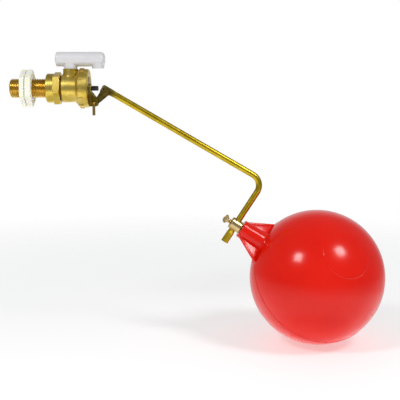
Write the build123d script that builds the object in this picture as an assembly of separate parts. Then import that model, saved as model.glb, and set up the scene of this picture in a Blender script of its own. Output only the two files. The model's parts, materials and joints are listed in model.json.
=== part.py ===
from build123d import *
import math
import os

# A diaphragm float valve for a half-inch supply, with its float screwed on and its arm hanging open.
# Millimetres. X runs along the shank from the supply end to the lever, Z points up to the discharge
# tube, and the origin is on the shank's axis at the face of the collar that bears on the tank's wall.

# ---- Inlet shank, thread G 1/2 ----
THREAD_R = 20.955 / 2
SHANK_LENGTH = 40.0
SHANK_CHAMFER = 1.5
FREE_THREAD = 12.2          # plain end of the thread, left for the supply's connector
RELIEF_WIDTH = 0.6
RELIEF_DEPTH = 0.3
INLET_BORE_R = 6.0
COLLAR_R = 16.1
COLLAR_LENGTH = 8.5
COLLAR_ROUND = 1.6
HEX_FLATS = 32.0
HEX_LENGTH = 7.2
HEX_CORNER_R = 18.2
HEX_BEVEL = 1.2
HEX_TURN = 14.0             # degrees that the corner facing -Y sits below the axis
SPIGOT_R = 9.0
SPIGOT_END = 21.3
NOZZLE_SOCKET_R = 6.9
NOZZLE_SOCKET_START = 13.5

# ---- Plastic backnuts ----
NUT_FLATS = 36.0
NUT_CORNER_R = 20.6
NUT_BORE_R = THREAD_R + 0.05
NUT_TURN = -5.0
NUT_BEVEL_DROP = 1.2
NUT_BEVEL_LENGTH = 0.8
DISH_INNER_R = 12.9
DISH_OUTER_R = 16.2
DISH_DEPTH = 2.0
OUTER_NUT_START = -27.6
OUTER_NUT_THICK = 5.0
INNER_NUT_START = -21.8
INNER_NUT_THICK = 6.2

# ---- Body ----
WASHER_R = 13.4
BODY_START = 16.5
BODY_R = 15.4
BODY_BEVEL = 1.5
CHAMBER_R = 12.0
BODY_THREAD_R = 16.6
BODY_THREAD_START = 33.6
BODY_END = 38.0
CLEAR_R = 45.0              # outside everything on the body
BOSS_R = 8.3
BOSS_BLEND = 1.2
BOSS_TOP = 21.3
BOSS_BORE_R = 5.8
BOSS_LEDGE = 14.0
OUTLET_R = 4.8
OUTLET_X = 26.4

# ---- Nozzle and diaphragm ----
NOZZLE_BORE_R = 3.6
NOZZLE_FIT = 0.05           # round the nozzle in its socket
NOZZLE_FLANGE_R = 8.2
NOZZLE_FLANGE_THICK = 1.5
NOZZLE_STEM_R = 4.6
NOZZLE_SEAT = 35.2
ORIFICE_R = 1.6
O_RING_X = 17.5
O_RING_R = 0.88
O_RING_GROOVE_HALF = 1.1
DIAPHRAGM_R = 16.2
RIM_THICK = 2.0
PAD_R = 6.5
PAD_THICK = 3.2
VALVE_LIFT = 2.6            # gap between the nozzle's seat and the pad with the valve open
WEB_THICK = 0.9
WEB_START = BODY_END + 0.5
WEB_ROLL = 0.5

# ---- Cap nut ----
CAP_START = 33.2
CAP_END = 46.6
CAP_R = 21.2
CAP_BORE_R = BODY_THREAD_R + 0.05
CAP_LIP_START = 43.6
CAP_LIP_BORE_R = 13.5
CAP_LIP_BEVEL = 0.8
CAP_EDGE_R = 17.1
CAP_CONE_END = 36.4
CAP_BEVEL = 1.1
RIB_COUNT = 12
RIB_R = 22.1
RIB_WIDTH = 1.9
RIB_END = 41.6
BODY_RELIEF_GAP = 0.4

# ---- Backplate ----
FLANGE_END = 43.55
HUB_R = 13.2
BRACKET_START = 46.9
BRACKET_FACE = 48.2
BRACKET_HALF_WIDTH = 6.0
BRACKET_TOP = 5.2
PLUNGER_BOSS_R = 4.7
PLUNGER_BOSS_END = 48.8
PLUNGER_CAVITY_R = 7.4
PLUNGER_CAVITY_END = 45.4
PLUNGER_BORE_R = 2.75
EAR_INNER = 3.4
EAR_THICK = 2.5
EAR_STEP = (53.3, -9.0)     # where the ear's sloping edge turns out to its end
EAR_END = 56.0
EAR_TOP = -11.0
EAR_BOTTOM = -19.8
PIVOT_X = 52.3
PIVOT_Z = -15.2
PIVOT_HOLE_R = 1.65

# ---- Plunger ----
PLUNGER_R = 2.68
PLUNGER_TIP = 56.6
PLUNGER_HEAD_R = 5.5
PLUNGER_HEAD_START = 43.6
PLUNGER_HEAD_THICK = 1.6

# ---- Split pin ----
PIN_R = 1.6
PIN_SLIT = 0.2
PIN_BEND_R = 2.3
PIN_BEND_Y = -6.2
PIN_DROP = 14.2
PIN_EYE_R = 2.3
PIN_EYE_WIRE_R = 0.95
PIN_EYE_Y = 8.9

# ---- Arm: lever head, rod and drop leg ----
ARM_ANGLE = -30.1           # degrees from +X towards +Z, with the arm hanging on its stop
BEND_ANGLE = 92.7
ROD_R = 3.5
ROD_OFFSET = 18.3           # rod's axis above the pivot, square to the rod
HEAD_FLAT_END = 12.0        # along the rod from the pivot; from here the head rounds to the rod
ROD_START = 16.5
ARM_REACH = 207.0           # pivot to the corner, along the rod
ROD_BEND_R = 14.0
LEG_LENGTH = 81.7
FLAT_LENGTH = 12.0
FLAT_TAPER = 3.2
FLAT_WIDTH = 8.2
FLAT_THICK = 4.6
LEVER_HALF_THICK = 3.0
CAM_CORNER = (-1.0, 14.3)   # lower corner of the nose that pushes the plunger, from the pivot
DIMPLE_X = 2.0
DIMPLE_R = 2.0
DIMPLE_DEPTH = 0.5
LEVER_HUB_R = 3.85
LEVER_HOLE_R = 1.68
HEEL_X = -3.95              # from the pivot; the bracket's face is 4.1 away

# ---- Clamp and thumb screw ----
CLAMP_DROP = 58.8           # along the leg from the corner
CLAMP_R = 6.8
CLAMP_LEFT = -6.3
CLAMP_RIGHT = 6.9
CLAMP_BEVEL = 0.8
CLAMP_HOLE_R = ROD_R + 0.08
STUD_R = 7.94 / 2           # 5/16 in Whitworth
STUD_LENGTH = 11.0
SCREW_R = 2.6
SCREW_HOLE_R = 2.65
SCREW_TIP = -3.65
SCREW_NECK = -9.6
HEAD_CENTRE = -12.8
HEAD_HALF_HEIGHT = 3.0
HEAD_HALF_WIDTH = 5.1
HEAD_THICK = 2.0

# ---- Float ----
FLOAT_R = 76.2              # a six-inch ball
FLOAT_WALL = 2.0
FLOAT_GAP = 0.5             # between the clamp's end and the float's boss
FLOAT_BOSS_R = 10.3
FLOAT_BOSS_REACH = 102.9    # from the ball's centre to the boss's tip
FLOAT_SPIN = -38.0          # turn of the seam about the stud's axis
INSERT_R = 7.4
INSERT_LENGTH = 14.0
INSERT_BORE_R = STUD_R + 0.08
INSERT_MOUTH_R = 4.8
FIN_FOOT = 28.7             # how far out the fins meet the ball
FIN_THICK = 2.4
SEAM_HEIGHT = 0.5
SEAM_WIDTH = 1.2
PANEL_R = 26.9
PANEL_HEIGHT = 0.4

# ---- Discharge tube ----
TUBE_R = 8.0
TUBE_BORE_R = 6.4
TUBE_Z = 31.7
TUBE_LEFT = 10.6
TUBE_RIGHT = 64.5
TUBE_END_ROUND = 5.5
TUBE_LEFT_ROUND = 1.6
STUB_R = 7.2
STUB_BLEND = 1.5
STUB_SHOULDER_Z = BOSS_TOP + 0.1
STUB_SPIGOT_R = BOSS_BORE_R - 0.06
STUB_BORE_R = 3.0
STUB_BOTTOM = 14.1
SPOUT_X = 56.6
SPOUT_MOUTH_Z = 21.7
SPOUT_MOUTH_R = 6.6
SPOUT_ROOT_R = 7.85
SPOUT_WALL = 1.5
STUB_RING_Z = 17.2
STUB_RING_MAJOR = 4.96
STUB_RING_MINOR = 0.8
STUB_GROOVE_R = 4.14
STUB_GROOVE_WIDTH = 2.0
PLUG_LENGTH = 4.0
PLUG_DOME = 0.6

CENTRE = (Align.CENTER, Align.CENTER, Align.CENTER)
UPWARD = (Align.CENTER, Align.CENTER, Align.MIN)


def turned(outline, rounded=()):
    """A solid of revolution about X from (x, radius) corners, some of them rounded."""
    face = make_face(Polyline(*outline, close=True))
    for corner, radius in rounded:
        face = fillet(face.vertices().sort_by_distance(corner)[0], radius)
    return revolve(face, axis=Axis.X)


def rod_x(radius, start, end):
    """A plain cylinder along X."""
    return Plane.YZ.offset(start) * Cylinder(radius, end - start, align=UPWARD)


def rod_z(radius, x, low, high):
    """A plain cylinder along Z at a place on X."""
    return Pos(x, 0, low) * Cylinder(radius, high - low, align=UPWARD)


def plate(outline, half_thick, rounded=()):
    """A flat plate in the XZ plane, centred on Y = 0."""
    face = make_face(Polyline(*outline, close=True))
    for corner, radius in rounded:
        face = fillet(face.vertices().sort_by_distance(corner)[0], radius)
    return extrude(Plane.XZ * face, half_thick, both=True)


def along(angle):
    """Unit vector in the XZ plane at an angle from +X towards +Z."""
    return Vector(math.cos(math.radians(angle)), 0, math.sin(math.radians(angle)))


def arm_frame(origin, angle):
    """Plane whose x points along an angle in the XZ plane, and whose z faces -Y."""
    return Plane(origin=origin, x_dir=along(angle), z_dir=(0, -1, 0))


LEG_ANGLE = ARM_ANGLE - BEND_ANGLE
STUD_ANGLE = LEG_ANGLE + 90
PIVOT = Vector(PIVOT_X, 0, PIVOT_Z)
CORNER = PIVOT + ARM_REACH * along(ARM_ANGLE) + ROD_OFFSET * along(ARM_ANGLE + 90)
CLAMP_CENTRE = CORNER + CLAMP_DROP * along(LEG_ANGLE)
STUD_FRAME = arm_frame(CLAMP_CENTRE, STUD_ANGLE)
FLOAT_TIP = CLAMP_RIGHT + FLOAT_GAP
FLOAT_CENTRE = FLOAT_TIP + FLOAT_BOSS_REACH


# ---- Inlet side ----

def inlet_shank():
    relief = -SHANK_LENGTH + FREE_THREAD
    hex_end = COLLAR_LENGTH + HEX_LENGTH
    stem = turned(
        [
            (-SHANK_LENGTH, INLET_BORE_R),
            (-SHANK_LENGTH, THREAD_R - SHANK_CHAMFER),
            (-SHANK_LENGTH + SHANK_CHAMFER, THREAD_R),
            (relief, THREAD_R),
            (relief, THREAD_R - RELIEF_DEPTH),
            (relief + RELIEF_WIDTH, THREAD_R - RELIEF_DEPTH),
            (relief + RELIEF_WIDTH, THREAD_R),
            (0, THREAD_R),
            (0, COLLAR_R),
            (COLLAR_LENGTH, COLLAR_R),
            (COLLAR_LENGTH, SPIGOT_R),
            (SPIGOT_END, SPIGOT_R),
            (SPIGOT_END, NOZZLE_SOCKET_R),
            (NOZZLE_SOCKET_START, NOZZLE_SOCKET_R),
            (NOZZLE_SOCKET_START, INLET_BORE_R),
        ],
        rounded=[((0, COLLAR_R), COLLAR_ROUND)],
    )
    blank = RegularPolygon(HEX_FLATS / 2, 6, major_radius=False, rotation=HEX_TURN)
    hexagon = extrude(Plane.YZ.offset(COLLAR_LENGTH) * blank, HEX_LENGTH)
    bevel = turned(
        [
            (COLLAR_LENGTH, SPIGOT_R),
            (COLLAR_LENGTH, HEX_CORNER_R),
            (hex_end - HEX_BEVEL, HEX_CORNER_R),
            (hex_end, HEX_CORNER_R - 1.5 * HEX_BEVEL),
            (hex_end, SPIGOT_R),
        ]
    )
    return stem + (hexagon & bevel)


def backnut(start, thick, dished):
    """A hexagonal backnut with bevelled corners; the dished one has a raised hub in its face."""
    blank = RegularPolygon(NUT_FLATS / 2, 6, major_radius=False, rotation=30 + NUT_TURN)
    nut = extrude(Plane.YZ.offset(start) * blank, thick)
    end = start + thick
    nut = nut & turned(
        [
            (start, 0),
            (start, NUT_CORNER_R - NUT_BEVEL_DROP),
            (start + NUT_BEVEL_LENGTH, NUT_CORNER_R),
            (end - NUT_BEVEL_LENGTH, NUT_CORNER_R),
            (end, NUT_CORNER_R - NUT_BEVEL_DROP),
            (end, 0),
        ]
    )
    if dished:
        nut = nut - turned(
            [
                (end, DISH_INNER_R),
                (end, DISH_OUTER_R),
                (end - 0.7 * DISH_DEPTH, DISH_OUTER_R - 1.0),
                (end - DISH_DEPTH, DISH_INNER_R + 0.5),
            ]
        )
    return nut - rod_x(NUT_BORE_R, start, end)


def inlet_washer():
    hex_end = COLLAR_LENGTH + HEX_LENGTH
    return rod_x(WASHER_R, hex_end, BODY_START) - rod_x(SPIGOT_R, hex_end, BODY_START)


# ---- Body ----

def valve_body():
    """Barrel with a blended outlet boss; the cap nut's room and thread are cut at the open end."""
    body = rod_x(BODY_R, 0, BODY_END) + rod_z(BOSS_R, OUTLET_X, 0, BOSS_TOP)
    body = fillet(body.edges().filter_by(GeomType.BSPLINE), BOSS_BLEND)
    ends = turned(
        [
            (BODY_START, 0),
            (BODY_START, BODY_R - BODY_BEVEL),
            (BODY_START + BODY_BEVEL, BODY_R),
            (BODY_START + BODY_BEVEL, CLEAR_R),
            (BODY_END, CLEAR_R),
            (BODY_END, 0),
        ]
    )
    nut_room = turned(
        [
            (BODY_THREAD_START, BODY_R - BODY_RELIEF_GAP),
            (CAP_START - BODY_RELIEF_GAP, BODY_R),
            (CAP_START - BODY_RELIEF_GAP, CAP_EDGE_R),
            (CAP_CONE_END - BODY_RELIEF_GAP, CAP_R + BODY_RELIEF_GAP),
            (BODY_END, CAP_R + BODY_RELIEF_GAP),
            (BODY_END, BODY_R - BODY_RELIEF_GAP),
        ]
    )
    thread = rod_x(BODY_THREAD_R, BODY_THREAD_START, BODY_END)
    body = (body & ends) - nut_room + thread
    body = body - rod_x(SPIGOT_R, BODY_START, SPIGOT_END)
    body = body - rod_x(CHAMBER_R, SPIGOT_END, BODY_END)
    body = body - rod_z(OUTLET_R, OUTLET_X, 0, BOSS_LEDGE)
    return body - rod_z(BOSS_BORE_R, OUTLET_X, BOSS_LEDGE, BOSS_TOP)


def nozzle():
    flange_end = SPIGOT_END + NOZZLE_FLANGE_THICK
    groove_r = NOZZLE_SOCKET_R - 2 * O_RING_R
    outer_r = NOZZLE_SOCKET_R - NOZZLE_FIT
    return turned(
        [
            (NOZZLE_SOCKET_START + 0.1, NOZZLE_BORE_R),
            (NOZZLE_SOCKET_START + 0.1, outer_r),
            (O_RING_X - O_RING_GROOVE_HALF, outer_r),
            (O_RING_X - O_RING_GROOVE_HALF, groove_r),
            (O_RING_X + O_RING_GROOVE_HALF, groove_r),
            (O_RING_X + O_RING_GROOVE_HALF, outer_r),
            (SPIGOT_END, outer_r),
            (SPIGOT_END, NOZZLE_FLANGE_R),
            (flange_end, NOZZLE_FLANGE_R),
            (flange_end, NOZZLE_STEM_R + 0.6),
            (NOZZLE_SEAT - 2.0, NOZZLE_STEM_R),
            (NOZZLE_SEAT, ORIFICE_R + 1.2),
            (NOZZLE_SEAT, ORIFICE_R),
            (NOZZLE_SEAT - 5.0, ORIFICE_R),
            (NOZZLE_SEAT - 8.0, NOZZLE_BORE_R),
        ],
        rounded=[((NOZZLE_SEAT, ORIFICE_R + 1.2), 0.8)],
    )


def nozzle_o_ring():
    return Plane.YZ.offset(O_RING_X) * Torus(NOZZLE_SOCKET_R - 0.02 - O_RING_R, O_RING_R - 0.02)


def diaphragm():
    """Rubber disc, drawn open: a clamped rim, a thin rolled web and a thick pad that shuts the nozzle."""
    pad_start = NOZZLE_SEAT + VALVE_LIFT
    pad_end = pad_start + PAD_THICK
    web = WEB_START
    return turned(
        [
            (pad_start, 0),
            (pad_start, PAD_R - 0.8),
            (web, PAD_R),
            (web + WEB_ROLL, (PAD_R + CHAMBER_R) / 2),
            (web, CHAMBER_R - 0.6),
            (BODY_END, CHAMBER_R),
            (BODY_END, DIAPHRAGM_R),
            (BODY_END + RIM_THICK, DIAPHRAGM_R),
            (BODY_END + RIM_THICK, CHAMBER_R),
            (web + WEB_THICK, CHAMBER_R - 0.6),
            (web + WEB_ROLL + WEB_THICK, (PAD_R + CHAMBER_R) / 2),
            (web + WEB_THICK, PAD_R),
            (pad_end, PAD_R - 0.8),
            (pad_end, 0),
        ]
    )


def cap_nut():
    """Ribbed nut that clamps the backplate and the diaphragm's rim to the body."""
    ring = turned(
        [
            (CAP_START, CAP_BORE_R),
            (CAP_START, CAP_EDGE_R),
            (CAP_CONE_END, CAP_R),
            (CAP_END - CAP_BEVEL, CAP_R - 0.1),
            (CAP_END, CAP_R - CAP_BEVEL),
            (CAP_END, CAP_LIP_BORE_R + CAP_LIP_BEVEL),
            (CAP_END - CAP_LIP_BEVEL, CAP_LIP_BORE_R),
            (CAP_LIP_START, CAP_LIP_BORE_R),
            (CAP_LIP_START, CAP_BORE_R),
        ],
        rounded=[((CAP_END - CAP_BEVEL, CAP_R - 0.1), 0.5)],
    )
    slope = (CAP_CONE_END - CAP_START) / (CAP_R - CAP_EDGE_R)
    rib_root = CAP_R - 0.8
    crown = turned(
        [
            (CAP_CONE_END - slope * (CAP_R - rib_root), rib_root),
            (CAP_CONE_END + slope * (RIB_R - CAP_R), RIB_R),
            (RIB_END - 0.5, RIB_R),
            (RIB_END, RIB_R - 0.5),
            (RIB_END, rib_root),
        ]
    )
    teeth = [
        Rot(360 / RIB_COUNT * i, 0, 0) * Pos(CAP_CONE_END, 0, RIB_R)
        * Box(20, RIB_WIDTH, 6, align=CENTRE)
        for i in range(RIB_COUNT)
    ]
    return ring + [crown & tooth for tooth in teeth]


# ---- Backplate, plunger and pivot ----

def backplate():
    disc = turned(
        [
            (BODY_END + RIM_THICK, PLUNGER_CAVITY_R),
            (BODY_END + RIM_THICK, DIAPHRAGM_R),
            (FLANGE_END, DIAPHRAGM_R),
            (FLANGE_END, HUB_R),
            (BRACKET_START, HUB_R),
            (BRACKET_START, 0),
            (PLUNGER_CAVITY_END, 0),
            (PLUNGER_CAVITY_END, PLUNGER_CAVITY_R),
        ],
        rounded=[((BRACKET_START, HUB_R), 0.6)],
    )
    height = BRACKET_TOP - EAR_BOTTOM
    outline = Rectangle(2 * BRACKET_HALF_WIDTH, height)
    outline = fillet(outline.vertices().group_by(Axis.Y)[-1], 4.5)
    outline = fillet(outline.vertices().group_by(Axis.Y)[0], 1.0)
    place = Plane.YZ.offset(BRACKET_START) * Pos(0, (BRACKET_TOP + EAR_BOTTOM) / 2)
    bracket = extrude(place * outline, BRACKET_FACE - BRACKET_START)
    boss = turned(
        [
            (BRACKET_START, 0),
            (BRACKET_START, PLUNGER_BOSS_R + 0.6),
            (PLUNGER_BOSS_END, PLUNGER_BOSS_R),
            (PLUNGER_BOSS_END, 0),
        ],
        rounded=[((PLUNGER_BOSS_END, PLUNGER_BOSS_R), 0.6)],
    )
    ear = plate(
        [
            (BRACKET_START + 0.4, -1.6),
            (PLUNGER_BOSS_END, -3.3),
            EAR_STEP,
            (EAR_END, EAR_TOP),
            (EAR_END, EAR_BOTTOM),
            (BRACKET_START + 0.4, EAR_BOTTOM),
        ],
        EAR_THICK / 2,
        rounded=[((EAR_END, EAR_BOTTOM), 2.2), ((EAR_END, EAR_TOP), 2.2), (EAR_STEP, 1.5)],
    )
    middle = EAR_INNER + EAR_THICK / 2
    whole = disc + bracket + boss + Pos(0, middle, 0) * ear + Pos(0, -middle, 0) * ear
    whole = whole - rod_x(PLUNGER_BORE_R, PLUNGER_CAVITY_END - 1, PLUNGER_BOSS_END + 1)
    pin_hole = Pos(PIVOT_X, 0, PIVOT_Z) * Rot(90, 0, 0) * Cylinder(PIVOT_HOLE_R, 40, align=CENTRE)
    return whole - pin_hole


def plunger():
    head_end = PLUNGER_HEAD_START + PLUNGER_HEAD_THICK
    return turned(
        [
            (PLUNGER_HEAD_START, 0),
            (PLUNGER_HEAD_START, PLUNGER_HEAD_R),
            (head_end, PLUNGER_HEAD_R),
            (head_end, PLUNGER_R),
            (PLUNGER_TIP - 0.4, PLUNGER_R),
            (PLUNGER_TIP, PLUNGER_R - 0.4),
            (PLUNGER_TIP, 1.1),
            (PLUNGER_TIP - 0.7, 0.9),
            (PLUNGER_TIP - 0.7, 0),
        ]
    )


def split_pin():
    """Two half-round legs through the ears, bent down side by side at -Y, joined by an eye at +Y."""
    bend_y = PIN_BEND_Y - PIN_BEND_R
    route = FilletPolyline(
        (PIVOT_X, PIN_EYE_Y - 1, PIVOT_Z),
        (PIVOT_X, bend_y, PIVOT_Z),
        (PIVOT_X, bend_y, PIVOT_Z - PIN_DROP),
        radius=PIN_BEND_R,
    )
    section = Plane(origin=route @ 0, x_dir=(1, 0, 0), z_dir=(0, -1, 0)) * Circle(PIN_R)
    bar = sweep(section, path=route)
    slit = Box(PIN_SLIT, 60, 60, align=CENTRE)
    legs = bar - Pos(PIVOT_X, 0, PIVOT_Z) * slit
    eye = Pos(PIVOT_X, PIN_EYE_Y + PIN_EYE_R - 1, PIVOT_Z) * Torus(PIN_EYE_R, PIN_EYE_WIRE_R)
    return legs + eye


# ---- Arm ----

def lever_head():
    """Forged end of the arm: a hub on the pin, a flat web with the cam nose, and a neck to the rod."""
    top = ROD_OFFSET + ROD_R + 0.1
    bottom = ROD_OFFSET - ROD_R - 0.1
    blank = plate(
        [
            (-0.9, 0),
            (-0.6, 6.4),
            (-0.15, 12.5),
            CAM_CORNER,
            (-0.8, top),
            (HEAD_FLAT_END, top),
            (HEAD_FLAT_END, bottom),
            (9.8, bottom),
            (4.2, 0),
        ],
        LEVER_HALF_THICK,
        rounded=[((-0.8, top), 1.8), ((9.8, bottom), 2.2)],
    )
    blank = chamfer(blank.edges().filter_by(Axis.X).group_by(Axis.Z)[-1], 0.9)
    neck_frame = Plane(origin=(HEAD_FLAT_END, 0, ROD_OFFSET), x_dir=(0, 1, 0), z_dir=(1, 0, 0))
    flat_end = RectangleRounded(2 * LEVER_HALF_THICK, top - bottom, 1.0)
    neck = loft([neck_frame * flat_end, neck_frame.offset(ROD_START - HEAD_FLAT_END) * Circle(ROD_R)])
    hub = Rot(90, 0, 0) * Cylinder(LEVER_HUB_R, 2 * LEVER_HALF_THICK, align=CENTRE)
    head = blank + neck + hub
    for side in (-1, 1):
        face = Pos(DIMPLE_X, side * LEVER_HALF_THICK, ROD_OFFSET - DIMPLE_DEPTH)
        head = head - face * Rot(90, 0, 0) * Cylinder(DIMPLE_R, 2 * DIMPLE_DEPTH, align=CENTRE)
    head = Pos(PIVOT) * Rot(0, -ARM_ANGLE, 0) * head
    heel = plate([(HEEL_X, -0.4), (HEEL_X, -3.6), (-2.8, -4.4), (0, -3.8), (0, 0)], LEVER_HALF_THICK)
    head = head + Pos(PIVOT) * heel
    return head - Pos(PIVOT) * Rot(90, 0, 0) * Cylinder(LEVER_HOLE_R, 20, align=CENTRE)


def arm_rod():
    """Round rod with a bent-down leg, pressed flat at its end so that the clamp can't slide off."""
    start = PIVOT + ROD_START * along(ARM_ANGLE) + ROD_OFFSET * along(ARM_ANGLE + 90)
    flat_start = CORNER + (LEG_LENGTH - FLAT_LENGTH - FLAT_TAPER) * along(LEG_ANGLE)
    route = FilletPolyline(start, CORNER, flat_start, radius=ROD_BEND_R)
    section = Plane(origin=start, x_dir=(0, 1, 0), z_dir=along(ARM_ANGLE)) * Circle(ROD_R)
    rod = sweep(section, path=route)
    leg_frame = Plane(origin=flat_start, x_dir=along(STUD_ANGLE), z_dir=along(LEG_ANGLE))
    pressed = SlotOverall(FLAT_WIDTH, FLAT_THICK)
    taper = loft([leg_frame * Circle(ROD_R), leg_frame.offset(FLAT_TAPER) * pressed])
    flat = extrude(leg_frame.offset(FLAT_TAPER) * pressed, FLAT_LENGTH)
    return rod + taper + flat


def arm_clamp():
    """Cross-drilled barrel that slides on the leg, with the float's stud turned on its end."""
    stud_end = CLAMP_RIGHT + STUD_LENGTH
    barrel = turned(
        [
            (CLAMP_LEFT, SCREW_HOLE_R),
            (CLAMP_LEFT, CLAMP_R - CLAMP_BEVEL),
            (CLAMP_LEFT + CLAMP_BEVEL, CLAMP_R),
            (CLAMP_RIGHT - CLAMP_BEVEL, CLAMP_R),
            (CLAMP_RIGHT, CLAMP_R - CLAMP_BEVEL),
            (CLAMP_RIGHT, STUD_R),
            (stud_end - 0.8, STUD_R),
            (stud_end, STUD_R - 0.8),
            (stud_end, 0),
            (0, 0),
            (0, SCREW_HOLE_R),
        ]
    )
    hole = Rot(90, 0, 0) * Cylinder(CLAMP_HOLE_R, 30, align=CENTRE)
    return STUD_FRAME * (barrel - hole)


def thumb_screw():
    """Screw with a flat oval head; its tip presses on the leg."""
    shank = turned(
        [
            (SCREW_TIP, 0),
            (SCREW_TIP, SCREW_R - 0.5),
            (SCREW_TIP - 0.5, SCREW_R),
            (SCREW_NECK, SCREW_R),
            (HEAD_CENTRE, SCREW_R - 0.4),
            (HEAD_CENTRE, 0),
        ]
    )
    oval = extrude(Ellipse(HEAD_HALF_HEIGHT, HEAD_HALF_WIDTH), HEAD_THICK / 2, both=True)
    oval = fillet(oval.edges().filter_by(GeomType.ELLIPSE), 0.6)
    return STUD_FRAME * (shank + Pos(HEAD_CENTRE, 0, 0) * oval)


# ---- Float ----

def float_place(shape):
    """Moves a shape from the float's own frame, centred on the ball, onto the clamp's stud."""
    return STUD_FRAME * Pos(FLOAT_CENTRE, 0, 0) * Rot(FLOAT_SPIN, 0, 0) * shape


def float_shell():
    """Hollow ball with a seam bead and a plain round panel."""
    ball = Sphere(FLOAT_R)
    seam = Cylinder(FLOAT_R + SEAM_HEIGHT, SEAM_WIDTH, align=CENTRE)
    seam = seam - Pos(-FLOAT_R, 0, 0) * Box(40, 2 * FIN_FOOT, 10, align=CENTRE)
    panel = Sphere(FLOAT_R + PANEL_HEIGHT) & Cylinder(PANEL_R, 2 * FLOAT_R, align=UPWARD)
    return float_place(ball + seam + panel - Sphere(FLOAT_R - FLOAT_WALL))


def float_neck():
    """The float's boss and its two fins, as far as the ball's skin."""
    boss_start = -FLOAT_BOSS_REACH
    boss = turned(
        [
            (boss_start, 0),
            (boss_start, FLOAT_BOSS_R),
            (-FLOAT_R + 10, FLOAT_BOSS_R + 0.8),
            (-FLOAT_R + 10, 0),
        ],
        rounded=[((boss_start, FLOAT_BOSS_R), 1.0)],
    )
    foot = -math.sqrt(FLOAT_R**2 - FIN_FOOT**2)
    fin_shape = make_face(
        Polyline(
            (boss_start + 1.2, FLOAT_BOSS_R - 1),
            (foot + 3, FIN_FOOT),
            (-FLOAT_R + 12, 0),
            (foot + 3, -FIN_FOOT),
            (boss_start + 1.2, -FLOAT_BOSS_R + 1),
            close=True,
        )
    )
    fins = extrude(fin_shape, FIN_THICK / 2, both=True)
    neck = boss + fins - Sphere(FLOAT_R)
    return float_place(neck - rod_x(INSERT_R, boss_start, boss_start + INSERT_LENGTH))


def float_insert():
    end = FLOAT_TIP + INSERT_LENGTH
    return STUD_FRAME * turned(
        [
            (FLOAT_TIP, INSERT_MOUTH_R),
            (FLOAT_TIP, INSERT_R),
            (end, INSERT_R),
            (end, INSERT_BORE_R),
            (FLOAT_TIP + INSERT_MOUTH_R - INSERT_BORE_R, INSERT_BORE_R),
        ]
    )


# ---- Discharge tube ----

def discharge_tube():
    """Tube on a stub that plugs into the boss, closed past its spout, with blended joints."""
    tube = turned(
        [(TUBE_LEFT, 0), (TUBE_LEFT, TUBE_R), (TUBE_RIGHT, TUBE_R), (TUBE_RIGHT, 0)],
        rounded=[((TUBE_LEFT, TUBE_R), TUBE_LEFT_ROUND), ((TUBE_RIGHT, TUBE_R), TUBE_END_ROUND)],
    )
    tube = Pos(0, 0, TUBE_Z) * tube + rod_z(STUB_R, OUTLET_X, STUB_SHOULDER_Z, TUBE_Z)
    tube = fillet(tube.edges().filter_by(GeomType.BSPLINE), STUB_BLEND)
    bore_end = TUBE_RIGHT - 2 * SPOUT_WALL
    bore = turned(
        [(TUBE_LEFT, 0), (TUBE_LEFT, TUBE_BORE_R), (bore_end, TUBE_BORE_R), (bore_end, 0)],
        rounded=[((bore_end, TUBE_BORE_R), 4.0)],
    )
    drop = TUBE_Z - SPOUT_MOUTH_Z
    spout_place = Pos(SPOUT_X, 0, SPOUT_MOUTH_Z)
    spout = spout_place * Cone(SPOUT_MOUTH_R, SPOUT_ROOT_R, drop, align=UPWARD)
    mouth_r = SPOUT_MOUTH_R - SPOUT_WALL
    mouth = rod_z(mouth_r, SPOUT_X, SPOUT_MOUTH_Z, TUBE_Z)
    spigot = rod_z(STUB_SPIGOT_R, OUTLET_X, STUB_BOTTOM, TUBE_Z)
    groove_low = STUB_RING_Z - STUB_GROOVE_WIDTH / 2
    groove_high = STUB_RING_Z + STUB_GROOVE_WIDTH / 2
    groove = rod_z(STUB_R, OUTLET_X, groove_low, groove_high)
    groove = groove - rod_z(STUB_GROOVE_R, OUTLET_X, groove_low, groove_high)
    stub_bore = rod_z(STUB_BORE_R, OUTLET_X, STUB_BOTTOM, TUBE_Z)
    whole = tube + spout + spigot
    return whole - Pos(0, 0, TUBE_Z) * bore - mouth - stub_bore - groove


def outlet_o_ring():
    return Pos(OUTLET_X, 0, STUB_RING_Z) * Torus(STUB_RING_MAJOR, STUB_RING_MINOR)


def tube_end_plug():
    """Plug that closes the end of the tube's moulded bore."""
    dome = TUBE_LEFT - PLUG_DOME
    plug = turned(
        [
            (dome, 0),
            (dome, TUBE_BORE_R - 1.5),
            (TUBE_LEFT, TUBE_BORE_R),
            (TUBE_LEFT + PLUG_LENGTH, TUBE_BORE_R),
            (TUBE_LEFT + PLUG_LENGTH, 0),
        ]
    )
    return Pos(0, 0, TUBE_Z) * plug


NODES = {
    "inlet_shank": inlet_shank(),
    "outer_backnut": backnut(OUTER_NUT_START, OUTER_NUT_THICK, dished=False),
    "inner_backnut": backnut(INNER_NUT_START, INNER_NUT_THICK, dished=True),
    "inlet_washer": inlet_washer(),
    "valve_body": valve_body(),
    "nozzle": nozzle(),
    "nozzle_o_ring": nozzle_o_ring(),
    "diaphragm": diaphragm(),
    "cap_nut": cap_nut(),
    "backplate": backplate(),
    "plunger": plunger(),
    "split_pin": split_pin(),
    "lever_head": lever_head(),
    "arm_rod": arm_rod(),
    "arm_clamp": arm_clamp(),
    "thumb_screw": thumb_screw(),
    "float_shell": float_shell(),
    "float_neck": float_neck(),
    "float_insert": float_insert(),
    "discharge_tube": discharge_tube(),
    "outlet_o_ring": outlet_o_ring(),
    "tube_end_plug": tube_end_plug(),
}

os.makedirs("parts", exist_ok=True)
for name, shape in NODES.items():
    export_step(shape, f"parts/{name}.step")
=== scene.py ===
"""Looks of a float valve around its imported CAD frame. Metres, in the row frame."""

import json
import math

import bmesh
import bpy
from mathutils import Matrix, Vector

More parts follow.
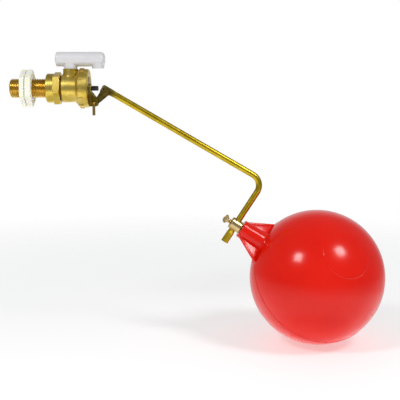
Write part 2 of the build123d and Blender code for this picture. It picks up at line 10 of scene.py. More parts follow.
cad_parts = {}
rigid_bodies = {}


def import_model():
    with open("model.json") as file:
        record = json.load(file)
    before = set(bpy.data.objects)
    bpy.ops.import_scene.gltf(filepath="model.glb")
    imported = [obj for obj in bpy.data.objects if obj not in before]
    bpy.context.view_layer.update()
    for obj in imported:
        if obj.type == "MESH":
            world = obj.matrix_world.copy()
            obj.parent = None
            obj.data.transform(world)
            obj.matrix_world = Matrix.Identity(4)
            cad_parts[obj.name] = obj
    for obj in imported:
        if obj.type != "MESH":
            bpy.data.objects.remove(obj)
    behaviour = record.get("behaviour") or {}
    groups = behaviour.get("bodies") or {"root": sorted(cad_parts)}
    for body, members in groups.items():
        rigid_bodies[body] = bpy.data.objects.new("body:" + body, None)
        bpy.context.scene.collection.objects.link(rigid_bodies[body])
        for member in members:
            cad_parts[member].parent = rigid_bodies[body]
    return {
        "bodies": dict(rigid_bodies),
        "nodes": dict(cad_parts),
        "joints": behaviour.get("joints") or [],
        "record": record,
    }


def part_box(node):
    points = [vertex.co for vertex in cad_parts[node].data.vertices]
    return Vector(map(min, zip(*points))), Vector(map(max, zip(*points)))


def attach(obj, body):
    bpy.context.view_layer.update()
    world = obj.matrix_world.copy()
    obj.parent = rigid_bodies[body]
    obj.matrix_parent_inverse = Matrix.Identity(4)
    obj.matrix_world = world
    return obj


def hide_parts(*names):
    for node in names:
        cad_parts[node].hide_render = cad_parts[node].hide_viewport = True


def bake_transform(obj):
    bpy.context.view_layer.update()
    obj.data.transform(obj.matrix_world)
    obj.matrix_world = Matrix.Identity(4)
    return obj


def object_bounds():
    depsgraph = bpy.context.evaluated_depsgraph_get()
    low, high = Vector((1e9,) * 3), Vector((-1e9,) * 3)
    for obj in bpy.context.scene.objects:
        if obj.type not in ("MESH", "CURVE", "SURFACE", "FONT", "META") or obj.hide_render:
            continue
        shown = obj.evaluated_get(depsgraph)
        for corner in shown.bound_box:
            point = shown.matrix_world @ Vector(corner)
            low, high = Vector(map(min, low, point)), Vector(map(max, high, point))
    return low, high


MM = 0.001

# ---- Camera and light ----
VIEW_AZIMUTH = 0.5
VIEW_ELEVATION = 8.0
LENS = 80.0
SENSOR = 36.0
FRAME_FILL = 0.93
SOFTBOX_DISTANCE = 1.2
SOFTBOX_SIZE = 0.27
SOFTBOX_POWER = 5.2
SOFTBOX_DIRECTIONS = ((-0.51, -0.58, 0.64), (0.60, -0.44, 0.66))
ROOM_LIGHT = 0.3
TABLE_LIGHT = 2.3
BACKDROP_LIGHT = 0.8
ROOM_TINT = (0.96, 0.98, 1)
FLOOR_SIZE = 3.0
FLOOR_DROP = 0.5 * MM
FLOOR_GLOW = 0.3
FLOOR_COVER = 0.8
FLOOR_FADE = (0.25, 0.95)
# Components of a direction between which its reflection changes: Z at the table's far and near
# edges, Y at the backdrop's edge.
TABLE_FAR = (-0.46, -0.26)
TABLE_NEAR = (-0.9, -0.7)
BACKDROP_EDGE = (0.7, 1.0)

# ---- Meshes: their fineness, and margins for picking the faces that a detailed piece replaces ----
ROUND_SEGMENTS = 96
STEPS_PER_PITCH = 12
SAME_PLANE = 0.01 * MM
PAST_SHOULDER = 0.1 * MM

# ---- Threads: the power narrows the valleys, and a thread fades out over its runout ----
VALLEY_POWER = 1.2
SHANK_R = 20.955 / 2 * MM
SHANK_PITCH = 1.814 * MM
SHANK_DEPTH = 1.16 * MM
SHANK_BEVEL = 1.5 * MM
SHANK_RUNOUT = 0.8 * MM
SHANK_INSIDE_R = 8.75 * MM
STUD_RUNOUT = 0.6 * MM


class Stud:
    """A threaded end, in millimetres. The shoulder is a place along the stud's axis."""

    def __init__(self, radius, pitch, depth, bevel, shoulder):
        self.radius = radius * MM
        self.pitch = pitch * MM
        self.depth = depth * MM
        self.bevel = bevel * MM
        self.shoulder = shoulder * MM


CLAMP_STUD = Stud(radius=7.94 / 2, pitch=1.411, depth=0.9, bevel=0.8, shoulder=6.9)
SCREW_SHANK = Stud(radius=2.6, pitch=0.8, depth=0.45, bevel=0.5, shoulder=-9.6)

# ---- Arm: distances from the pivot along the rod, and the rod's angle to the float's stud ----
NECK_START = 10.0 * MM
NECK_END = 21.0 * MM
ROD_ANGLE = math.radians(-2.7)

# ---- Float: edges are ranges over which a raised or sunk shape fades ----
FLOAT_R = 76.2 * MM
BOSS_REACH = 102.9 * MM
BOSS_R = 10.3 * MM
BOSS_ROOT_R = 11.2 * MM
INSERT_R = 7.4 * MM
INSERT_BORE_R = 4.05 * MM
INSERT_BEVEL = 0.75 * MM
INSERT_THREAD_DEPTH = 0.6 * MM
INSERT_LENGTH = 14.0 * MM
MOUTH_LENGTH = 0.3 * MM
MOUTH_WIDENING = 0.2 * MM
BOSS_LIP = 1.0 * MM
SEAM_SPIN = math.radians(-38)
SEAM_HALF_WIDTH = 0.7 * MM
SEAM_HEIGHT = 0.4 * MM
SEAM_EDGE = (0.3, 1.0)
PANEL_HALF_ANGLE = math.radians(20.7)
PANEL_HEIGHT = 0.4 * MM
PANEL_EDGE = 0.004
POCKET_HALF_LENGTH = 28.7 * MM
POCKET_HALF_WIDTH = 16.8 * MM
POCKET_DEPTH = 3.2 * MM
POCKET_EDGE = (0.86, 1.0)
POCKET_LIP = (1.0, 1.03)
STRUT_WIDTH = 3.2 * MM
STRUT_THICK = 2.2 * MM
STRUT_BEVEL = 0.5 * MM
STRUT_START = 1.3 * MM
STRUT_SUNK = 0.6 * MM
STRUT_FOOT_RISE = 1.5 * MM
STRUT_FOOT_REACH = 0.5 * MM
WEB_THICK = 1.8 * MM
WEB_BEVEL = 0.3 * MM
WEB_ROOT = 9.0 * MM
WEB_REACH = 0.8


# ---- Mesh helpers ----

def new_object(name, vertices, faces, matrix=None):
    """A smooth-shaded mesh object in the row frame."""
    mesh = bpy.data.meshes.new(name)
    mesh.from_pydata([tuple(v) for v in vertices], [], faces)
    if matrix is not None:
        mesh.transform(matrix)
    mesh.validate()
    mesh.shade_smooth()
    piece = bpy.data.objects.new(name, mesh)
    bpy.context.scene.collection.objects.link(piece)
    return piece


def grid_faces(rows, columns):
    """Quads between closed rings of points."""
    faces = []
    for row in range(rows - 1):
        for column in range(columns):
            a = row * columns + column
            b = row * columns + (column + 1) % columns
            faces.append((a, b, b + columns, a + columns))
    return faces


def turned(name, outline, matrix):
    """A surface of revolution about X through (x, radius) points."""
    vertices = []
    for x, radius in outline:
        for i in range(ROUND_SEGMENTS):
            angle = 2 * math.pi * i / ROUND_SEGMENTS
            vertices.append((x, radius * math.cos(angle), radius * math.sin(angle)))
    return new_object(name, vertices, grid_faces(len(outline), ROUND_SEGMENTS), matrix)


def thread(name, start, end, radius, pitch, depth, bevel, runout, matrix, capped=False,
           internal=False):
    """A right-handed screw thread about X, bevelled at one end and running out at the other.

    Start is the bevelled, free end; end is where the thread meets its shoulder. An internal
    thread is cut outwards from its radius."""
    length = abs(end - start)
    direction = 1 if end > start else -1
    rows = max(2, round(length / pitch * STEPS_PER_PITCH))
    vertices = []
    for row in range(rows + 1):
        along = length * row / rows
        x = start + direction * along
        chamfer = max(0.0, bevel - along)
        fade = min(1.0, max(0.0, (length - along) / runout))
        for i in range(ROUND_SEGMENTS):
            turn = i / ROUND_SEGMENTS
            phase = (x / pitch - turn) * 2 * math.pi
            valley = (0.5 - 0.5 * math.cos(phase)) ** VALLEY_POWER
            cut = max(chamfer, depth * valley * fade)
            r = radius + cut if internal else radius - cut
            angle = 2 * math.pi * turn
            vertices.append((x, r * math.cos(angle), r * math.sin(angle)))
    faces = grid_faces(rows + 1, ROUND_SEGMENTS)
    if internal:
        faces = [tuple(reversed(face)) for face in faces]
    if capped:
        vertices.append((start, 0, 0))
        middle = len(vertices) - 1
        faces += [(middle, (i + 1) % ROUND_SEGMENTS, i) for i in range(ROUND_SEGMENTS)]
    return new_object(name, vertices, faces, matrix)


def trimmed_copy(node, name, unwanted):
    """A copy of a CAD node without the faces whose centre is unwanted."""
    mesh = node.data.copy()
    work = bmesh.new()
    work.from_mesh(mesh)
    gone = [face for face in work.faces if unwanted(face.calc_center_median())]
    bmesh.ops.delete(work, geom=gone, context="FACES")
    work.to_mesh(mesh)
    work.free()
    mesh.name = name
    piece = bpy.data.objects.new(name, mesh)
    bpy.context.scene.collection.objects.link(piece)
    return piece


def joined(pieces, name):
    """Several mesh objects as one object."""
    bpy.ops.object.select_all(action="DESELECT")
    for piece in pieces:
        piece.select_set(True)
    bpy.context.view_layer.objects.active = pieces[0]
    bpy.ops.object.join()
    pieces[0].name = name
    return pieces[0]


def dress(piece, material):
    """Gives a piece one material in place of its own."""
    piece.data.materials.clear()
    piece.data.materials.append(material)


def axis_frame(origin, x_axis):
    """A frame at a point, its X along an axis in the XZ plane and its Z facing the viewer."""
    x = Vector(x_axis).normalized()
    z = Vector((0, -1, 0))
    y = z.cross(x)
    turn = Matrix((x, y, z)).transposed().to_4x4()
    return Matrix.Translation(Vector(origin)) @ turn


def local_points(node, frame):
    """A node's vertices in a frame of its own."""
    inverse = frame.inverted()
    return [inverse @ vertex.co for vertex in node.data.vertices]


def smoothstep(low, high, value):
    """0 below low, 1 above high, and a smooth rise between."""
    t = min(1.0, max(0.0, (value - low) / (high - low)))
    return t * t * (3 - 2 * t)


# ---- Shader helpers ----

class Shader:
    """A principled material with short calls for the nodes that this scene uses."""

    def __init__(self, name, colour, roughness, metallic=0.0):
        self.material = bpy.data.materials.new(name)
        self.material.use_nodes = True
        self.tree = self.material.node_tree
        self.bsdf = self.tree.nodes["Principled BSDF"]
        self.set("Base Color", (*colour, 1))
        self.set("Roughness", roughness)
        self.set("Metallic", metallic)

    def set(self, socket, value):
        self.bsdf.inputs[socket].default_value = value

    def node(self, kind, **inputs):
        made = self.tree.nodes.new(kind)
        for socket, value in inputs.items():
            target = made.inputs[socket.replace("_", " ")]
            if isinstance(value, bpy.types.NodeSocket):
                self.tree.links.new(value, target)
            else:
                target.default_value = value
        return made

    def link(self, output, socket):
        self.tree.links.new(output, self.bsdf.inputs[socket])

    def place(self, frame, scale):
        """Coordinates in a frame of the object, stretched by a scale along each of its axes."""
        mapping = self.node("ShaderNodeMapping")
        mapping.vector_type = "TEXTURE"
        mapping.inputs["Location"].default_value = frame.to_translation()
        mapping.inputs["Rotation"].default_value = frame.to_euler()
        mapping.inputs["Scale"].default_value = [1 / s for s in scale]
        coordinates = self.tree.nodes.new("ShaderNodeTexCoord")
        self.tree.links.new(coordinates.outputs["Object"], mapping.inputs["Vector"])
        return mapping.outputs["Vector"]

    def noise(self, coordinates, scale=1.0, detail=4.0, roughness=0.55):
        made = self.node("ShaderNodeTexNoise", Vector=coordinates, Scale=scale, Detail=detail,
                         Roughness=roughness)
        return made.outputs["Fac"]

    def ramp(self, factor, low, high, start, end):
        """Maps a factor between low and high onto the range from start to end."""
        made = self.node("ShaderNodeMapRange", Value=factor)
        made.inputs["From Min"].default_value = low
        made.inputs["From Max"].default_value = high
        made.inputs["To Min"].default_value = start
        made.inputs["To Max"].default_value = end
        return made.outputs["Result"]

    def colours(self, factor, *stops):
        """A colour ramp from (position, colour) stops."""
        made = self.node("ShaderNodeValToRGB", Fac=factor)
        elements = made.color_ramp.elements
        while len(elements) < len(stops):
            elements.new(0.5)
        for element, (position, colour) in zip(elements, stops):
            element.position = position
            element.color = (*colour, 1)
        return made.outputs["Color"]

    def mix(self, factor, a, b):
        made = self.tree.nodes.new("ShaderNodeMix")
        made.data_type = "RGBA"
        for socket, value in ((made.inputs[0], factor), (made.inputs[6], a), (made.inputs[7], b)):
            if isinstance(value, bpy.types.NodeSocket):
                self.tree.links.new(value, socket)
            else:
                socket.default_value = value
        return made.outputs[2]

    def bump(self, height, strength, distance, normal=None):
        made = self.node("ShaderNodeBump", Height=height, Strength=strength, Distance=distance)
        if normal is not None:
            self.tree.links.new(normal, made.inputs["Normal"])
        return made.outputs["Normal"]

    def rounded_edges(self, radius):
        """Normals with sharp edges rounded over."""
        made = self.node("ShaderNodeBevel", Radius=radius)
        made.samples = 6
        return made.outputs["Normal"]

    def worn_edges(self, radius):
        """1 along sharp edges, 0 on plain faces."""
        made = self.node("ShaderNodeVectorMath")
        made.operation = "DOT_PRODUCT"
        geometry = self.tree.nodes.new("ShaderNodeNewGeometry")
        self.tree.links.new(geometry.outputs["True Normal"], made.inputs[0])
        self.tree.links.new(self.rounded_edges(radius), made.inputs[1])
        return self.ramp(made.outputs["Value"], *WORN_COSINES, 0.0, 1.0)


# ---- Materials ----
ROW = Matrix.Identity(4)
GRAIN_HEIGHT = 0.05 * MM
# Cosine between the flat and the rounded normal where wear starts, and where it is full.
WORN_COSINES = (0.98, 0.85)
BARE_BRASS = (0.90, 0.74, 0.36)
# Painted shade: dark colours for the lever head, standing for the dark reflections of its flat
# faces.
HEAD_PAINTED_SHADE_DARK, HEAD_PAINTED_SHADE_LIGHT = (0.045, 0.030, 0.008), (0.23, 0.17, 0.035)
DRAWN_BRASS_DARK, DRAWN_BRASS_LIGHT = (0.43, 0.30, 0.012), (0.61, 0.43, 0.03)
HEAD_ROUGHNESS, ROD_ROUGHNESS = 0.4, 0.33


def brass(name, light, dark, roughness, frame=ROW, streaks=(1, 1, 1), streak_depth=0.3,
          grain=900.0, grain_depth=0.2, edge=0.25 * MM, patch=70.0, wear=0.45):
    """Brass with tool streaks along a frame's axes, tarnish in patches, and bright rubbed edges."""
    shader = Shader(name, light, roughness, metallic=1.0)
    plain = shader.place(frame, (1, 1, 1))
    patches = shader.noise(plain, scale=patch, detail=5.0)
    lines = shader.noise(shader.place(frame, streaks), detail=3.0)
    specks = shader.noise(plain, scale=grain, detail=3.0, roughness=0.6)
    tone = shader.colours(patches, (0.32, dark), (0.68, light))
    lined = shader.mix(shader.ramp(lines, 0.35, 0.65, 0.0, 0.35), tone, (*dark, 1))
    rubbed = shader.ramp(shader.worn_edges(2 * edge), 0.0, 1.0, 0.0, wear)
    shader.link(shader.mix(rubbed, lined, (*BARE_BRASS, 1)), "Base Color")
    shader.link(shader.ramp(lines, 0.3, 0.7, roughness * 0.8, roughness * 1.25), "Roughness")
    normal = shader.rounded_edges(edge)
    normal = shader.bump(specks, grain_depth, GRAIN_HEIGHT, normal)
    normal = shader.bump(lines, streak_depth, GRAIN_HEIGHT, normal)
    shader.link(normal, "Normal")
    return shader.material


def arm_brass(name, frame):
    """Painted shade on the lever head, a dark brass colour for the dark reflections of its flat
    faces, that gives way to drawn brass on the rod.
    """
    shader = Shader(name, DRAWN_BRASS_LIGHT, ROD_ROUGHNESS, metallic=1.0)
    plain = shader.place(frame, (1, 1, 1))
    along = shader.node("ShaderNodeSeparateXYZ", Vector=plain).outputs["X"]
    toward_rod = shader.ramp(along, NECK_START, NECK_END, 0.0, 1.0)
    # Painted shade: the head's dark colours stand for the dark reflections of its flat faces.
    scale = shader.colours(shader.noise(plain, scale=230.0, detail=5.0),
                           (0.32, HEAD_PAINTED_SHADE_DARK), (0.68, HEAD_PAINTED_SHADE_LIGHT))
    drawn = shader.colours(shader.noise(plain, scale=70.0, detail=5.0),
                           (0.32, DRAWN_BRASS_DARK), (0.68, DRAWN_BRASS_LIGHT))
    rubbed = shader.ramp(shader.worn_edges(0.5 * MM), 0.0, 1.0, 0.0, 0.5)
    tone = shader.mix(toward_rod, scale, drawn)
    shader.link(shader.mix(rubbed, tone, (*BARE_BRASS, 1)), "Base Color")
    shader.link(shader.ramp(toward_rod, 0.0, 1.0, HEAD_ROUGHNESS, ROD_ROUGHNESS), "Roughness")
    specks = shader.noise(plain, scale=800.0, detail=3.0)
    lines = shader.noise(shader.place(frame, (30, 900, 900)), detail=3.0)
    normal = shader.bump(specks, shader.ramp(toward_rod, 0.0, 1.0, 0.6, 0.08), GRAIN_HEIGHT,
                         shader.rounded_edges(0.25 * MM))
    shader.link(shader.bump(lines, 0.06, GRAIN_HEIGHT, normal), "Normal")
    return shader.material


def moulded(name, light, dark, roughness, grain, grain_depth, subsurface=0.0, edge=0.3 * MM,
            coat=0.0, specular=0.5):
    """Moulded plastic: faint mottling, an uneven gloss and a fine skin texture."""
    shader = Shader(name, light, roughness)
    plain = shader.place(ROW, (1, 1, 1))
    mottle = shader.noise(plain, scale=25.0, detail=4.0)
    skin = shader.noise(plain, scale=grain, detail=2.0)
    shader.link(shader.colours(mottle, (0.3, dark), (0.7, light)), "Base Color")
    shader.link(shader.ramp(mottle, 0.3, 0.7, roughness * 0.85, roughness * 1.15), "Roughness")
    shader.set("Specular IOR Level", specular)
    shader.set("Subsurface Weight", subsurface)
    shader.set("Subsurface Radius", (1.0, 0.85, 0.4))
    shader.set("Subsurface Scale", 4 * MM)
    shader.set("Coat Weight", coat)
    shader.set("Coat Roughness", 0.08)
    normal = shader.bump(skin, grain_depth, GRAIN_HEIGHT, shader.rounded_edges(edge))
    shader.link(normal, "Normal")
    return shader.material


def rubber(name):
    """Matt black rubber with a fine skin."""
    shader = Shader(name, (0.02, 0.02, 0.02), 0.6)
    skin = shader.noise(shader.place(ROW, (1, 1, 1)), scale=1500.0)
    shader.link(shader.colours(skin, (0.3, (0.012,) * 3), (0.7, (0.035,) * 3)), "Base Color")
    shader.link(shader.bump(skin, 0.3, GRAIN_HEIGHT), "Normal")
    return shader.material


def materials(stud_frame, arm_frame):
    """Every finish of the object by a short name."""
    turned_x = (2600, 60, 60)  # fine rings round X, from a lathe
    gold, gold_dark = (0.76, 0.58, 0.15), (0.54, 0.38, 0.05)
    # The olive colours are painted shade: darkened brass for the shadow the backplate sits in.
    painted_shade_olive, painted_shade_olive_dark = (0.42, 0.31, 0.04), (0.15, 0.10, 0.01)
    return {
        "turned": brass("turned_brass", gold, gold_dark, 0.3, ROW, turned_x, 0.35),
        "thread": brass("thread_brass", (0.80, 0.56, 0.12), (0.5, 0.30, 0.03), 0.27, ROW,
                        turned_x, 0.2, edge=0.1 * MM),
        "cast": brass("cast_brass", gold, gold_dark, 0.34, ROW, (300, 300, 300), 0.15, 1400, 0.35),
        "painted_shade_olive": brass("painted_shade_olive_brass", painted_shade_olive, painted_shade_olive_dark, 0.38, ROW, (500, 500, 500), 0.4, 900, 0.5),
        "pin": brass("pin_brass", (0.66, 0.44, 0.13), (0.36, 0.22, 0.05), 0.3, ROW,
                     (900, 900, 60), 0.2),
        "arm": arm_brass("arm_brass", arm_frame),
        "clamp": brass("clamp_brass", (0.80, 0.62, 0.33), (0.50, 0.36, 0.16), 0.26, stud_frame,
                       turned_x, 0.3),
        "nut": moulded("nut_plastic", (0.95, 0.93, 0.80), (0.93, 0.90, 0.75), 0.42, 1800, 0.2,
                       subsurface=0.5),
        "tube": moulded("tube_plastic", (0.70, 0.69, 0.70), (0.66, 0.65, 0.66), 0.25, 500, 0.06,
                        subsurface=0.1, coat=0.3),
        "float": moulded("float_plastic", (0.86, 0.012, 0.003), (0.80, 0.009, 0.002), 0.19, 900,
                         0.1, specular=0.3),
        "black": moulded("black_plastic", (0.015, 0.015, 0.017), (0.008, 0.008, 0.009), 0.35,
                         1500, 0.3),
        "rubber": rubber("rubber"),
    }


# CAD nodes that keep their mesh, and the finish of each.
WORN_BY = {
    "inlet_washer": "rubber",
    "valve_body": "cast",
    "nozzle": "nut",
    "nozzle_o_ring": "rubber",
    "cap_nut": "cast",
    # Painted shade: the backplate's dark olive brass stands for the shadow it sits in.
    "backplate": "painted_shade_olive",
    "plunger": "black",
    "split_pin": "pin",
    "discharge_tube": "tube",
    "outlet_o_ring": "rubber",
    "tube_end_plug": "tube",
    "outer_backnut": "nut",
    "inner_backnut": "nut",
}


# ---- Pieces ----

def threaded_shank(node, turned_metal, thread_metal):
    """The inlet shank with a real thread in place of the CAD's plain cylinder."""
    low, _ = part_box("inlet_shank")

    def on_thread(centre):
        outside = math.hypot(centre.y, centre.z) > SHANK_INSIDE_R
        return outside and centre.x < -PAST_SHOULDER

    rest = trimmed_copy(node, "shank_rest", on_thread)
    turns = thread("shank_thread", low.x, 0.0, SHANK_R, SHANK_PITCH, SHANK_DEPTH,
                   SHANK_BEVEL, SHANK_RUNOUT, ROW)
    dress(rest, turned_metal)
    dress(turns, thread_metal)
    piece = joined([rest, turns], "threaded_shank")
    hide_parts("inlet_shank")
    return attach(piece, "valve")


def threaded_end(nodes, name, body, frame, stud, material):
    """A node with a real thread beyond its shoulder, along its frame's X."""
    inverse = frame.inverted()
    tip = max(point.x for point in local_points(nodes[name], frame))

    def past_shoulder(centre):
        return (inverse @ centre).x > stud.shoulder + PAST_SHOULDER

    rest = trimmed_copy(nodes[name], f"{name}_rest", past_shoulder)
    turns = thread(f"{name}_thread", tip, stud.shoulder, stud.radius, stud.pitch, stud.depth,
                   stud.bevel, STUD_RUNOUT, frame, capped=True)
    piece = joined([rest, turns], f"threaded_{name}")
    dress(piece, material)
    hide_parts(name)
    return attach(piece, body)


def threaded_insert(node, material, frame):
    """The float's brass insert with a real thread in its bore."""
    inverse = frame.inverted()
    reach = [point.x for point in local_points(node, frame)]
    mouth, end = min(reach), max(reach)

    def in_bore(centre):
        point = inverse @ centre
        inside = math.hypot(point.y, point.z) < INSERT_BORE_R + INSERT_BEVEL
        return inside and mouth + SAME_PLANE < point.x < end - SAME_PLANE

    rest = trimmed_copy(node, "insert_rest", in_bore)
    turns = thread("insert_thread", mouth, end, INSERT_BORE_R, CLAMP_STUD.pitch,
                   INSERT_THREAD_DEPTH, INSERT_BEVEL, CLAMP_STUD.pitch, frame, internal=True)
    piece = joined([rest, turns], "threaded_insert")
    dress(piece, material)
    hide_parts("float_insert")
    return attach(piece, "float")


def open_joint(nodes, names, frame, material):
    """The lever head and the rod without the end faces that meet inside the metal."""
    inverse = frame.inverted()
    joint = max(point.x for point in local_points(nodes[names[0]], frame))

    def inside(centre):
        return abs((inverse @ centre).x - joint) < SAME_PLANE

    for name in names:
        piece = trimmed_copy(nodes[name], f"{name}_open", inside)
        dress(piece, material)
        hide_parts(name)
        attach(piece, "arm")


def flexing_diaphragm(node, material):
    """The diaphragm as an unchanged rubber copy of its CAD node, with its transform baked into the
    mesh.
    """
    piece = trimmed_copy(node, "flexing_diaphragm", lambda centre: False)
    dress(piece, material)
    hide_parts("diaphragm")
    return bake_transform(piece)


def float_latitudes():
    """Latitudes from pole to pole, close together at the seam, the pocket and the panel's edge."""
    edge = 90 - math.degrees(PANEL_HALF_ANGLE)
    seam = [i * 0.1 for i in range(11)]
    pocket = [1 + 0.5 * i for i in range(1, 31)]
    plain = [16 + 2 * i for i in range(1, 26)]
    rim = [edge + 0.15 * i for i in range(-5, 6)]
    cap = [edge + 1 + i * (89.5 - edge - 1) / 10 for i in range(11)]
    upper = sorted(set(seam + pocket + [a for a in plain if a < edge - 1] + rim + cap))
    return [-a for a in reversed(upper[1:])] + upper


def float_longitudes():
    """Angles round the seam, measured from the boss, close together near the boss."""
    near = [0.5 * i for i in range(-56, 57)]
    far = [28 + (332 - 28) * i / 152 for i in range(1, 152)]
    return near + far


def float_radius(latitude, longitude):
    """Distance from the ball's centre to its skin."""
    along = abs((longitude + 180) % 360 - 180)
    in_plane = FLOAT_R * math.sin(math.radians(min(along, 90)))
    across = FLOAT_R * math.sin(math.radians(latitude))
    pocket = math.hypot(in_plane / POCKET_HALF_LENGTH, across / POCKET_HALF_WIDTH)
    if along > 90:
        pocket = math.inf
    sunk = 1 - smoothstep(*POCKET_EDGE, pocket)
    seam = 1 - smoothstep(*SEAM_EDGE, abs(across) / SEAM_HALF_WIDTH)
    panel = 0.0
    if latitude > 0:
        away = math.radians(90 - latitude) - PANEL_HALF_ANGLE
        panel = 1 - smoothstep(-PANEL_EDGE, PANEL_EDGE, away)
    outside = smoothstep(*POCKET_LIP, pocket)
    return FLOAT_R + SEAM_HEIGHT * seam * outside + PANEL_HEIGHT * panel - POCKET_DEPTH * sunk


def float_skin(frame):
    """The ball: seam bead all round, oval pocket at the boss, round raised panel on one side."""
    vertices = []
    latitudes = float_latitudes()
    longitudes = float_longitudes()
    for latitude in latitudes:
        for longitude in longitudes:
            r = float_radius(latitude, longitude)
            lat, lon = math.radians(latitude), math.radians(longitude)
            vertices.append((-r * math.cos(lat) * math.cos(lon), r * math.cos(lat) * math.sin(lon),
                             r * math.sin(lat)))
    count = len(longitudes)
    faces = [tuple(reversed(face)) for face in grid_faces(len(latitudes), count)]
    top = (len(latitudes) - 1) * count
    vertices.append((0, 0, -FLOAT_R))
    vertices.append((0, 0, FLOAT_R + PANEL_HEIGHT))
    for i in range(count):
        after = (i + 1) % count
        faces.append((len(vertices) - 2, i, after))
        faces.append((len(vertices) - 1, top + after, top + i))
    return new_object("float_skin", vertices, faces, frame)


def bezier(a, b, c, steps):
    """Points on a quadratic curve from a to c, drawn towards b."""
    points = []
    for i in range(steps + 1):
        t = i / steps
        points.append(tuple((1 - t) ** 2 * p + 2 * t * (1 - t) * q + t * t * r
                            for p, q, r in zip(a, b, c)))
    return points


def float_boss(frame):
    """The boss round the insert, with a rounded lip and a flared root."""
    tip = -BOSS_REACH
    floor = -(FLOAT_R - POCKET_DEPTH)
    outline = [(tip + INSERT_LENGTH, 0.0005 * MM), (tip + INSERT_LENGTH, INSERT_R)]
    outline += [(tip + MOUTH_LENGTH, INSERT_R), (tip, INSERT_R + MOUTH_WIDENING)]
    outline += bezier((tip, BOSS_R - BOSS_LIP), (tip, BOSS_R), (tip + BOSS_LIP, BOSS_R), 6)
    outline += bezier((floor - 3.0 * MM, BOSS_ROOT_R), (floor, BOSS_ROOT_R + 0.1 * MM),
                      (floor + 1.0 * MM, BOSS_ROOT_R + 4.0 * MM), 8)
    return turned("float_boss", outline, frame)


def prism(name, outline, half_thick, frame, bevel):
    """A plate in the frame's XY plane with bevelled edges."""
    count = len(outline)
    vertices = [(x, y, -half_thick) for x, y in outline] + [(x, y, half_thick) for x, y in outline]
    faces = [tuple(reversed(range(count))), tuple(range(count, 2 * count))]
    faces += [(i, (i + 1) % count, (i + 1) % count + count, i + count) for i in range(count)]
    mesh = bpy.data.meshes.new(name)
    mesh.from_pydata(vertices, [], faces)
    work = bmesh.new()
    work.from_mesh(mesh)
    bmesh.ops.recalc_face_normals(work, faces=work.faces)
    bmesh.ops.bevel(work, geom=work.edges[:], offset=bevel, segments=3, affect="EDGES", profile=0.5)
    work.to_mesh(mesh)
    work.free()
    mesh.transform(frame)
    mesh.shade_smooth()
    piece = bpy.data.objects.new(name, mesh)
    bpy.context.scene.collection.objects.link(piece)
    return piece


def float_gussets(frame):
    """Two webs between the boss and the ball, each with a thick strut along its outer edge."""
    tip = -BOSS_REACH + STRUT_START
    root = -FLOAT_R + WEB_ROOT
    foot_x = -math.sqrt(FLOAT_R**2 - POCKET_HALF_LENGTH**2)
    pieces = []
    for side in (-1, 1):
        outer = Vector((foot_x + STRUT_FOOT_RISE, side * (POCKET_HALF_LENGTH + STRUT_FOOT_REACH)))
        inner = Vector((tip, side * (BOSS_R - STRUT_SUNK)))
        run = (outer - inner).normalized()
        square = Vector((-run.y, run.x)) * side
        if square.x > 0:
            square = -square
        strut = [inner, outer, outer - square * STRUT_THICK, inner - square * STRUT_THICK]
        web = [inner - square * STRUT_THICK / 2, outer - square * STRUT_THICK / 2,
               Vector((root, side * POCKET_HALF_LENGTH * WEB_REACH)), Vector((root, 0)),
               Vector((tip, 0))]
        pieces.append(prism("strut", strut, STRUT_WIDTH / 2, frame, STRUT_BEVEL))
        pieces.append(prism("web", web, WEB_THICK / 2, frame, WEB_BEVEL))
    return pieces


def float_ball(material, frame):
    """The float's one moulding: ball, boss, struts and webs."""
    parts = [float_skin(frame), float_boss(frame)] + float_gussets(frame)
    piece = joined(parts, "float_ball")
    dress(piece, material)
    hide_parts("float_shell", "float_neck")
    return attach(piece, "float")


# ---- Camera, light and floor ----

def camera(low, high):
    """A view from the front, level with the valve, far enough back to fit the whole object."""
    azimuth, elevation = math.radians(VIEW_AZIMUTH), math.radians(VIEW_ELEVATION)
    back = Vector((math.sin(azimuth) * math.cos(elevation),
                   -math.cos(azimuth) * math.cos(elevation), math.sin(elevation)))
    centre = (low + high) / 2
    wide = max(high.x - low.x, high.z - low.z) / FRAME_FILL
    distance = wide / 2 / (SENSOR / 2 / LENS)
    data = bpy.data.cameras.new("camera")
    data.lens = LENS
    data.sensor_width = SENSOR
    made = bpy.data.objects.new("camera", data)
    made.location = centre + back * distance
    made.rotation_euler = (-back).to_track_quat("-Z", "Y").to_euler()
    bpy.context.scene.collection.objects.link(made)
    bpy.context.scene.camera = made


def softboxes(centre):
    """Two square lights above, one on each side."""
    for i, direction in enumerate(SOFTBOX_DIRECTIONS):
        data = bpy.data.lights.new(f"softbox_{i}", "AREA")
        data.shape = "SQUARE"
        data.size = SOFTBOX_SIZE
        data.energy = SOFTBOX_POWER
        made = bpy.data.objects.new(f"softbox_{i}", data)
        made.location = centre + Vector(direction).normalized() * SOFTBOX_DISTANCE
        made.rotation_euler = (centre - made.location).to_track_quat("-Z", "Y").to_euler()
        bpy.context.scene.collection.objects.link(made)


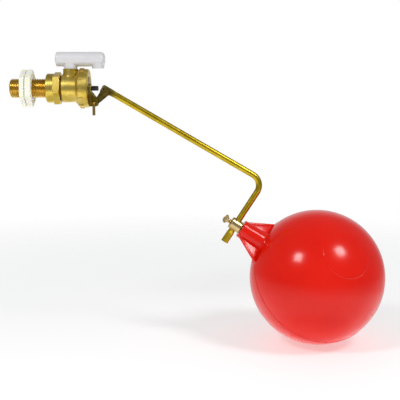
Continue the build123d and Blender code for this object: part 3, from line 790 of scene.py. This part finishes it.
def room():
    """White behind the object, whose reflections find a bright table and backdrop in a dim room."""
    world = bpy.data.worlds.new("room")
    bpy.context.scene.world = world
    world.use_nodes = True
    nodes, links = world.node_tree.nodes, world.node_tree.links

    def fade(source, low, high, start, end):
        made = nodes.new("ShaderNodeMapRange")
        made.interpolation_type = "SMOOTHSTEP"
        links.new(source, made.inputs["Value"])
        made.inputs["From Min"].default_value = low
        made.inputs["From Max"].default_value = high
        made.inputs["To Min"].default_value = start
        made.inputs["To Max"].default_value = end
        return made.outputs["Result"]

    def joined_by(operation, a, b):
        made = nodes.new("ShaderNodeMath")
        made.operation = operation
        links.new(a, made.inputs[0])
        links.new(b, made.inputs[1])
        return made.outputs[0]

    direction = nodes.new("ShaderNodeSeparateXYZ")
    links.new(nodes.new("ShaderNodeTexCoord").outputs["Generated"], direction.inputs[0])
    far_edge = fade(direction.outputs["Z"], *TABLE_FAR, TABLE_LIGHT, ROOM_LIGHT)
    near_edge = fade(direction.outputs["Z"], *TABLE_NEAR, ROOM_LIGHT, TABLE_LIGHT)
    behind = fade(direction.outputs["Y"], *BACKDROP_EDGE, ROOM_LIGHT, BACKDROP_LIGHT)
    table = joined_by("MINIMUM", far_edge, near_edge)
    around = nodes.new("ShaderNodeBackground")
    around.inputs["Color"].default_value = (*ROOM_TINT, 1)
    links.new(joined_by("MAXIMUM", table, behind), around.inputs["Strength"])
    seen = nodes["Background"]
    seen.inputs["Color"].default_value = (1, 1, 1, 1)
    seen.inputs["Strength"].default_value = 1.0
    mix = nodes.new("ShaderNodeMixShader")
    links.new(nodes.new("ShaderNodeLightPath").outputs["Is Camera Ray"], mix.inputs[0])
    links.new(around.outputs[0], mix.inputs[1])
    links.new(seen.outputs[0], mix.inputs[2])
    links.new(mix.outputs[0], nodes["World Output"].inputs["Surface"])


def floor(low, high):
    """A plain pale floor that fades out with distance."""
    centre = (low + high) / 2
    vertices = [(centre.x + sx * FLOOR_SIZE, centre.y + sy * FLOOR_SIZE, low.z - FLOOR_DROP)
                for sx, sy in ((-1, -1), (1, -1), (1, 1), (-1, 1))]
    piece = new_object("floor", vertices, [(0, 1, 2, 3)])
    shader = Shader("floor", (0.93, 0.93, 0.93), 0.7)
    shader.set("Emission Color", (1, 1, 1, 1))
    shader.set("Emission Strength", FLOOR_GLOW)
    place = Matrix.Translation((centre.x, centre.y, low.z))
    spot = shader.node("ShaderNodeVectorMath", Vector=shader.place(place, (1, 1, 1)))
    spot.operation = "LENGTH"
    shader.link(shader.ramp(spot.outputs["Value"], *FLOOR_FADE, FLOOR_COVER, 0.0), "Alpha")
    dress(piece, shader.material)


def main():
    """Dresses the CAD frame, adds the detailed pieces, and sets up the view."""
    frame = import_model()
    cad_low, cad_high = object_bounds()
    nodes = frame["nodes"]
    joints = {joint["name"]: joint for joint in frame["joints"]}
    stud_axis = Vector(joints["float_unscrew"]["axis"])
    clamp_centre = Vector(joints["thumbscrew_turn"]["pos_m"])
    pivot = Vector(joints["lever_swing"]["pos_m"])
    stud_frame = axis_frame(clamp_centre, stud_axis)
    boss_tip = min(point.x for point in local_points(nodes["float_insert"], stud_frame))
    ball_centre = clamp_centre + stud_axis * (boss_tip + BOSS_REACH)
    ball_frame = axis_frame(ball_centre, stud_axis) @ Matrix.Rotation(SEAM_SPIN, 4, "X")
    arm_axis = Matrix.Rotation(ROD_ANGLE, 4, "Y") @ stud_axis
    arm_frame = axis_frame(pivot, arm_axis)

    finishes = materials(stud_frame, arm_frame)
    for node, finish in WORN_BY.items():
        for place in nodes[node].material_slots:
            place.material = finishes[finish]
    threaded_shank(nodes["inlet_shank"], finishes["turned"], finishes["thread"])
    threaded_end(nodes, "arm_clamp", "clamp", stud_frame, CLAMP_STUD, finishes["clamp"])
    threaded_end(nodes, "thumb_screw", "screw", stud_frame, SCREW_SHANK, finishes["clamp"])
    threaded_insert(nodes["float_insert"], finishes["clamp"], stud_frame)
    open_joint(nodes, ("lever_head", "arm_rod"), arm_frame, finishes["arm"])
    flexing_diaphragm(nodes["diaphragm"], finishes["rubber"])
    float_ball(finishes["float"], ball_frame)

    camera(cad_low, cad_high)
    softboxes((cad_low + cad_high) / 2)
    room()
    floor(cad_low, cad_high)
    bpy.context.scene.view_settings.view_transform = "Standard"


main()
